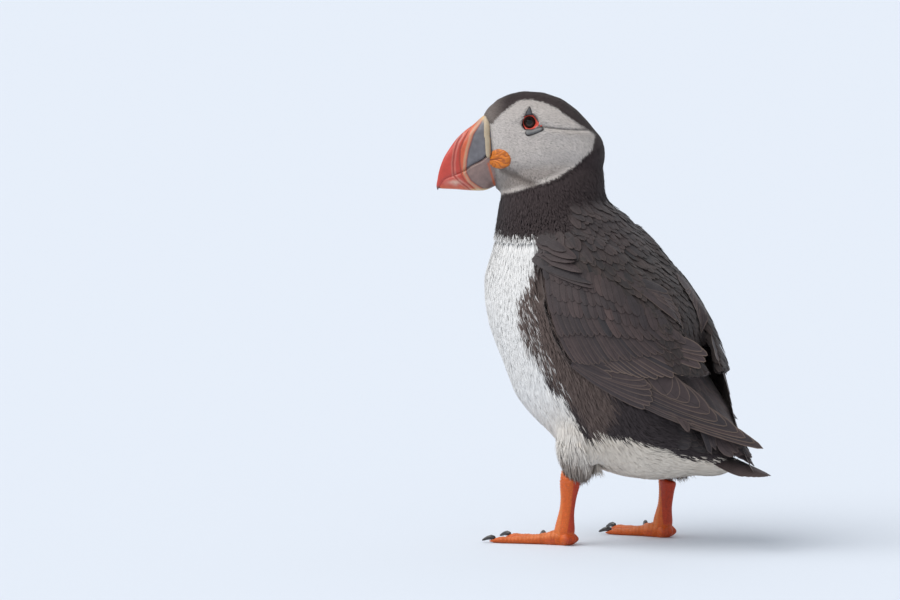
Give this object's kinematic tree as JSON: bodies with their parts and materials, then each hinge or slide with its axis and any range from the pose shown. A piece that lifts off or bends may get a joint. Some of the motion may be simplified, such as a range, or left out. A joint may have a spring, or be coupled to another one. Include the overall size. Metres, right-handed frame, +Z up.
{
  "type": "atlantic puffin",
  "caption": "Standing seabird in black and white plumage, its head turned to one side, with a tall flat-sided coloured bill and webbed feet; a still, life-size model.",
  "frame": {"origin": "on the floor, at the middle of the bird's bounding box seen from above", "axes": "+Z up, -Y the way the body faces, +X the bird's left"},
  "size_m": [0.1052, 0.1788, 0.2234],
  "materials": {
    "plumage_black": "soft close feathers, brown-black, with paler brown edges on the wing",
    "plumage_white": "soft close feathers, white, shaded brown-grey on the flanks",
    "plumage_face": "velvety short feathers, warm pale grey",
    "bill_red": "satin horn with curved grooves",
    "bill_slate": "satin blue-grey horn at the bill's base",
    "cere_horn": "pitted cream ridge",
    "slate_horn": "satin slate horn",
    "gape_skin": "wrinkled bare skin",
    "eyelid_skin": "bare red skin",
    "eye": "wet, dark brown",
    "leg_skin": "finely scaled bare skin, orange-red",
    "claw_horn": "dark horn"
  },
  "bodies": {
    "root": {"bill_lower": "bill_red", "bill_upper": "bill_red", "cere": "cere_horn", "claw_left_inner": "claw_horn", "claw_left_middle": "claw_horn", "claw_left_outer": "claw_horn", "claw_right_inner": "claw_horn", "claw_right_middle": "claw_horn", "claw_right_outer": "claw_horn", "eye_left": "eye", "eye_plate_lower_left": "slate_horn", "eye_plate_lower_right": "slate_horn", "eye_plate_upper_left": "slate_horn", "eye_plate_upper_right": "slate_horn", "eye_right": "eye", "eye_ring_left": "eyelid_skin", "eye_ring_right": "eyelid_skin", "foot_left": "leg_skin", "foot_right": "leg_skin", "gape_rosette_left": "gape_skin", "gape_rosette_right": "gape_skin", "head": "plumage_face", "leg_left": "leg_skin", "leg_right": "leg_skin", "neck": "plumage_black", "primaries_left": "plumage_black", "primaries_right": "plumage_black", "tail": "plumage_black", "thigh_left": "plumage_white", "thigh_right": "plumage_white", "trunk": "plumage_white", "wing_left": "plumage_black", "wing_right": "plumage_black"}
  },
  "joints": []
}
